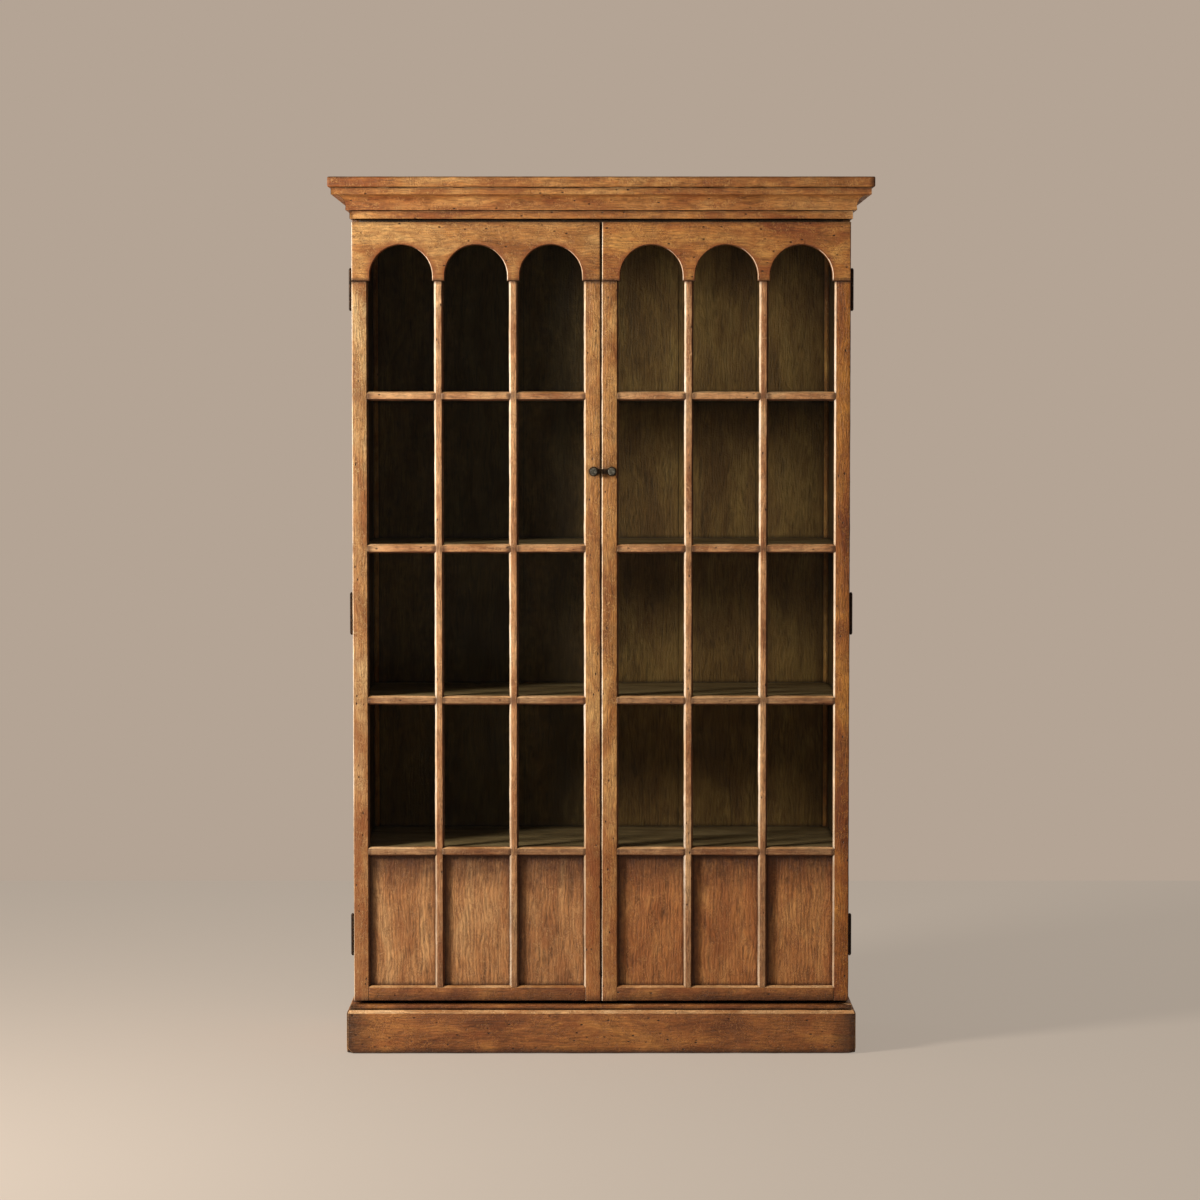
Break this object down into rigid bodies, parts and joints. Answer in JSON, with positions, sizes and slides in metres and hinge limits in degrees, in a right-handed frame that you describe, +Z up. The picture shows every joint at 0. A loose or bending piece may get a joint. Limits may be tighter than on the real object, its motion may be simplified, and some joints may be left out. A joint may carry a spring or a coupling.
{
  "type": "display cabinet",
  "caption": "Tall free-standing display cabinet with arched glazed doors over wooden panels, shelves, a moulded cornice and a plinth.",
  "frame": {"origin": "on the floor under the middle of the cabinet's width and depth", "axes": "+Z up, the doors face -Y, +X to the right of a person facing the doors"},
  "size_m": [1.32, 0.52, 2.134],
  "materials": {
    "case_wood": "satin",
    "door_wood": "satin",
    "panel_wood": "satin",
    "inner_wood": "matte",
    "pane_glass": "gloss",
    "hinge_iron": "satin",
    "latch_iron": "satin",
    "knob_iron": "satin"
  },
  "bodies": {
    "carcass": {"side_left": "case_wood", "side_right": "case_wood", "top_panel": "inner_wood", "bottom_panel": "inner_wood", "back_boards": "inner_wood", "corner_beads": "inner_wood", "shelf_1": "inner_wood", "shelf_2": "inner_wood", "shelf_3": "inner_wood", "shelf_4": "inner_wood", "plinth_front": "case_wood", "plinth_left": "case_wood", "plinth_right": "case_wood", "plinth_back": "case_wood", "plinth_strip_front": "case_wood", "plinth_strip_left": "case_wood", "plinth_strip_right": "case_wood", "plinth_glue_blocks": "inner_wood", "cornice_top": "case_wood", "cornice_moulding_front": "case_wood", "cornice_moulding_left": "case_wood", "cornice_moulding_right": "case_wood", "cornice_band_front": "case_wood", "cornice_band_left": "case_wood", "cornice_band_right": "case_wood", "cornice_back_rail": "case_wood", "carcass_hinge_leaves": "hinge_iron", "carcass_hinge_screws": "hinge_iron", "hinge_pins": "hinge_iron"},
    "left_door": {"left_door_header": "door_wood", "left_door_hinge_stile": "door_wood", "left_door_meeting_stile": "door_wood", "left_door_bottom_rail": "door_wood", "left_door_mullions": "door_wood", "left_door_bars": "door_wood", "left_door_panels": "panel_wood", "left_door_glass": "pane_glass", "left_door_glazing_beads": "inner_wood", "left_door_hinge_leaves": "hinge_iron", "left_door_hinge_screws": "hinge_iron", "latch_housing": "latch_iron", "latch_screws_left": "latch_iron"},
    "right_door": {"right_door_header": "door_wood", "right_door_hinge_stile": "door_wood", "right_door_meeting_stile": "door_wood", "right_door_bottom_rail": "door_wood", "right_door_mullions": "door_wood", "right_door_bars": "door_wood", "right_door_panels": "panel_wood", "right_door_glass": "pane_glass", "right_door_glazing_beads": "inner_wood", "right_door_hinge_leaves": "hinge_iron", "right_door_hinge_screws": "hinge_iron", "latch_keeper": "latch_iron", "latch_screws_right": "latch_iron", "right_knob": "knob_iron", "right_knob_rose": "latch_iron", "right_knob_nut": "latch_iron"},
    "latch_slide": {"latch_bolt": "latch_iron", "latch_knob": "knob_iron"}
  },
  "joints": [
    {"name": "left_door_hinge", "type": "hinge", "parent": "carcass", "child": "left_door", "pos_m": [-0.6102, -0.1688, 1.0756], "axis": [0, 0, -1], "range_deg": [0, 175]},
    {"name": "right_door_hinge", "type": "hinge", "parent": "carcass", "child": "right_door", "pos_m": [0.6102, -0.1688, 1.0756], "axis": [0, 0, 1], "range_deg": [0, 175]},
    {"name": "latch_bolt_slide", "type": "slide", "parent": "left_door", "child": "latch_slide", "axis": [1, 0, 0], "range_m": [0, 0.009]}
  ]
}
